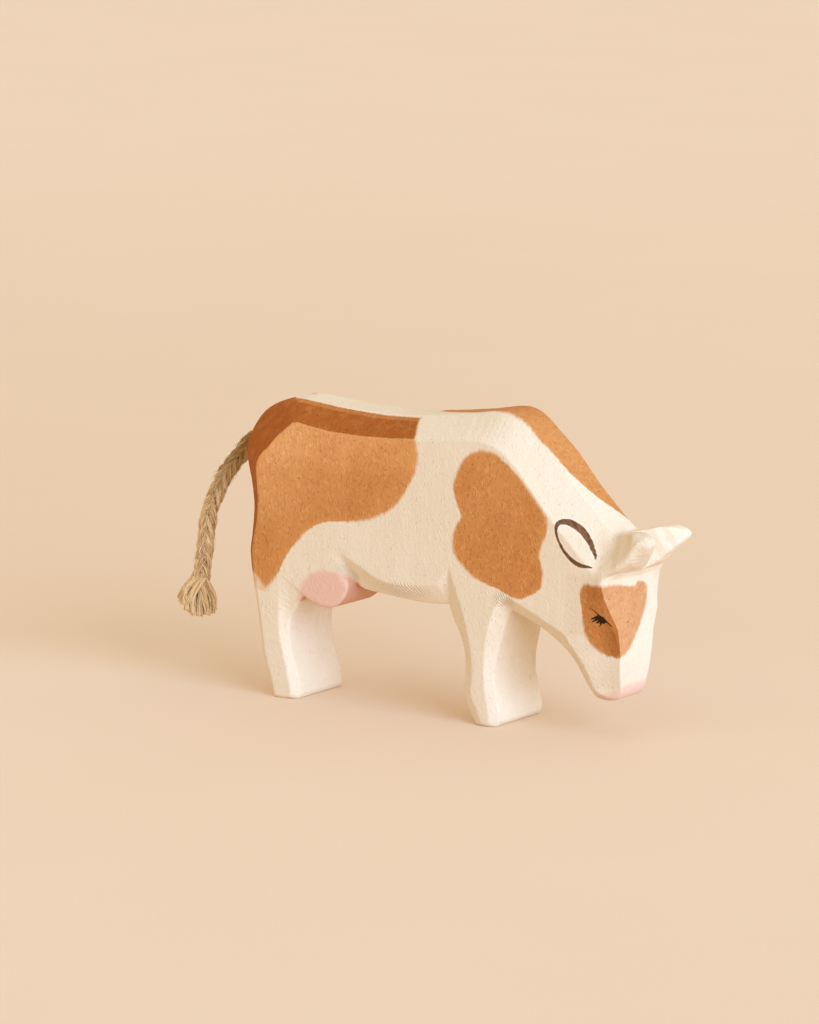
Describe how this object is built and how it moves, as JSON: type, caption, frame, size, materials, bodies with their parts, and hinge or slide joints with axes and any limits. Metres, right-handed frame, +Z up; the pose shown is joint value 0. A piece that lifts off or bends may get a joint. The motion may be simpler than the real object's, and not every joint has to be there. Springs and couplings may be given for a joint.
{
  "type": "carved cow figure",
  "caption": "Hand-carved wooden cow figure, grazing with its head down, with painted patches and a tail of plaited cord glued into the rump.",
  "frame": {"origin": "on the ground, under the middle of the block of wood", "axes": "+X from the rump to the head, +Z up from the soles, +Y to the cow's left side, across the board"},
  "size_m": [0.1657, 0.025, 0.0882],
  "materials": {
    "painted_wood": "matt knife-cut pale wood, with translucent orange-brown and pink stain in patches",
    "wood_glue": "cured amber wood glue",
    "plaited_cord": "rough plaited plant fibre, opened out at its end"
  },
  "bodies": {
    "body": {"cow_body": "painted_wood", "tail_glue": "wood_glue", "tail_root": "plaited_cord"},
    "tail": {"tail_cord": "plaited_cord", "tail_tuft": "plaited_cord"}
  },
  "joints": [
    {"name": "tail_swing", "type": "hinge", "parent": "body", "child": "tail", "pos_m": [-0.07055, 0, 0.07232], "axis": [-0.9063, 0, -0.4226], "range_deg": [-35, 35]}
  ]
}
